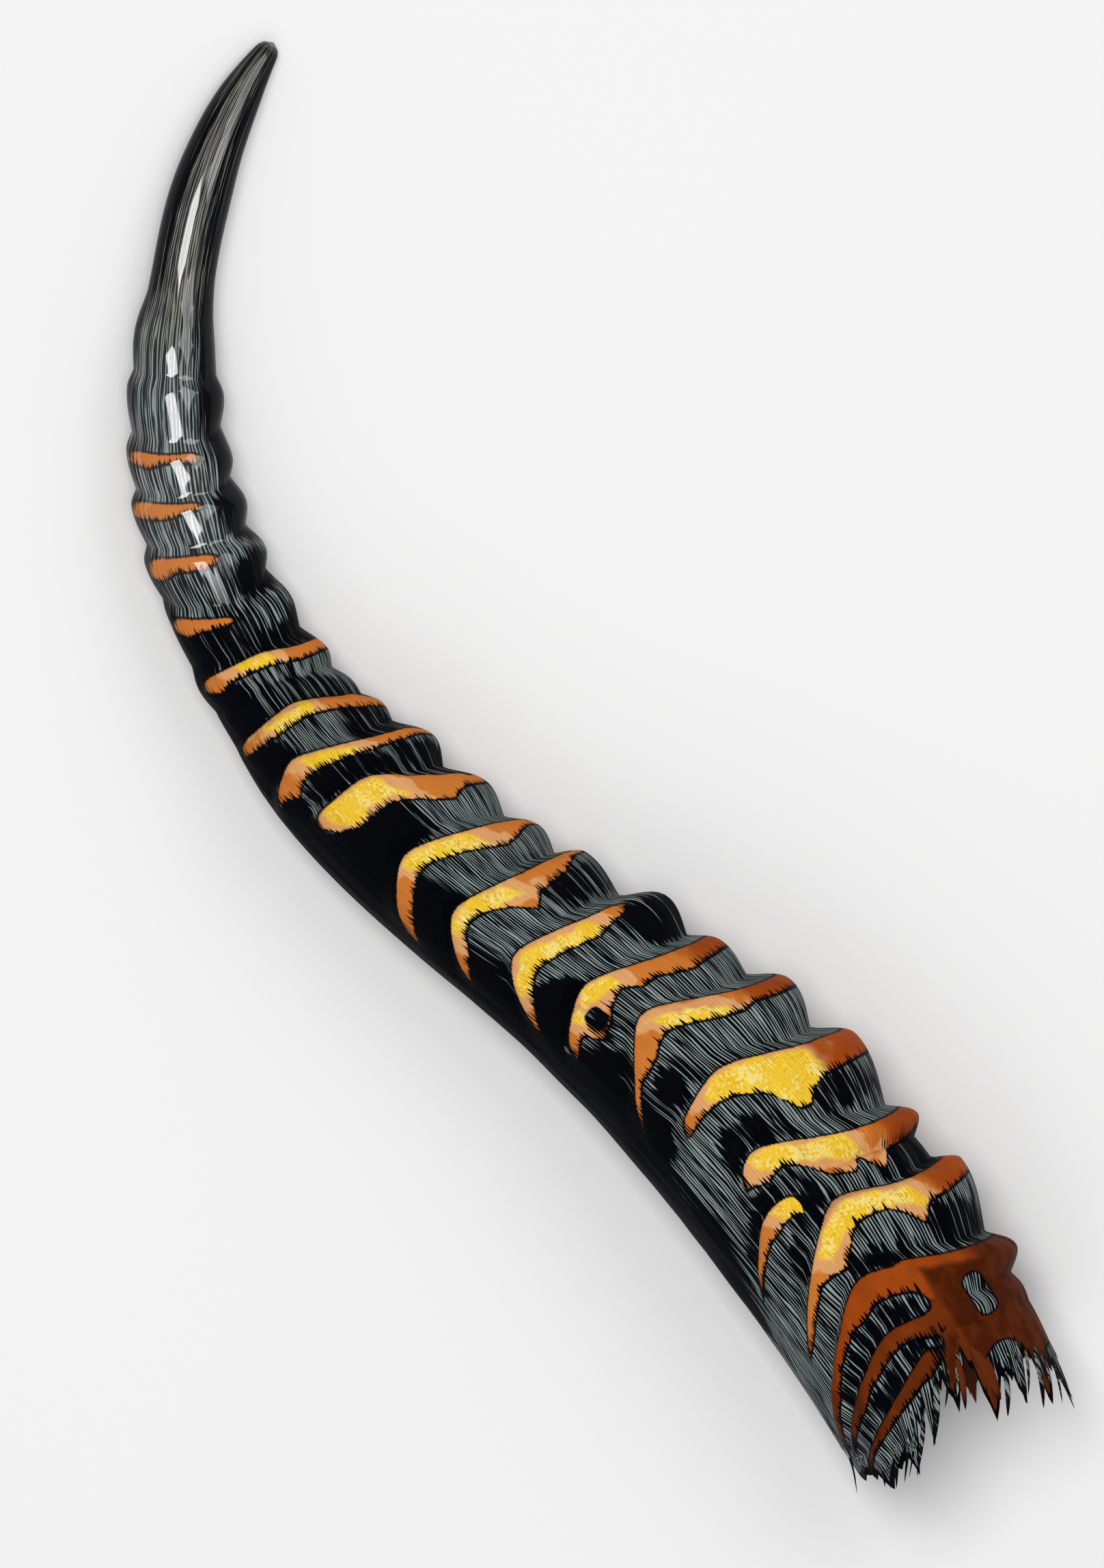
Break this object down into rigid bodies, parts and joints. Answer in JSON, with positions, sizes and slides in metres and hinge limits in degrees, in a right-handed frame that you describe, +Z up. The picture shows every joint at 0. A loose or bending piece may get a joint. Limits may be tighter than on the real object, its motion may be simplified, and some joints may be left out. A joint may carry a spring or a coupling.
{
  "type": "ringed antelope horn sheath",
  "caption": "S-curved ringed antelope horn with a smooth hooked tip and a hollow, torn base, lying on its side.",
  "frame": {"origin": "on the ground, under the middle of the box round the lying horn", "axes": "+Z up; +Y from the torn base towards the tip, along the base; +X the side that the high rings face"},
  "size_m": [0.1178, 0.4187, 0.0608],
  "materials": {
    "horn_keratin": "dark fibrous horn keratin with amber ring crests, semi-gloss, polished towards the tip"
  },
  "bodies": {
    "root": {"horn": "horn_keratin"}
  },
  "joints": []
}
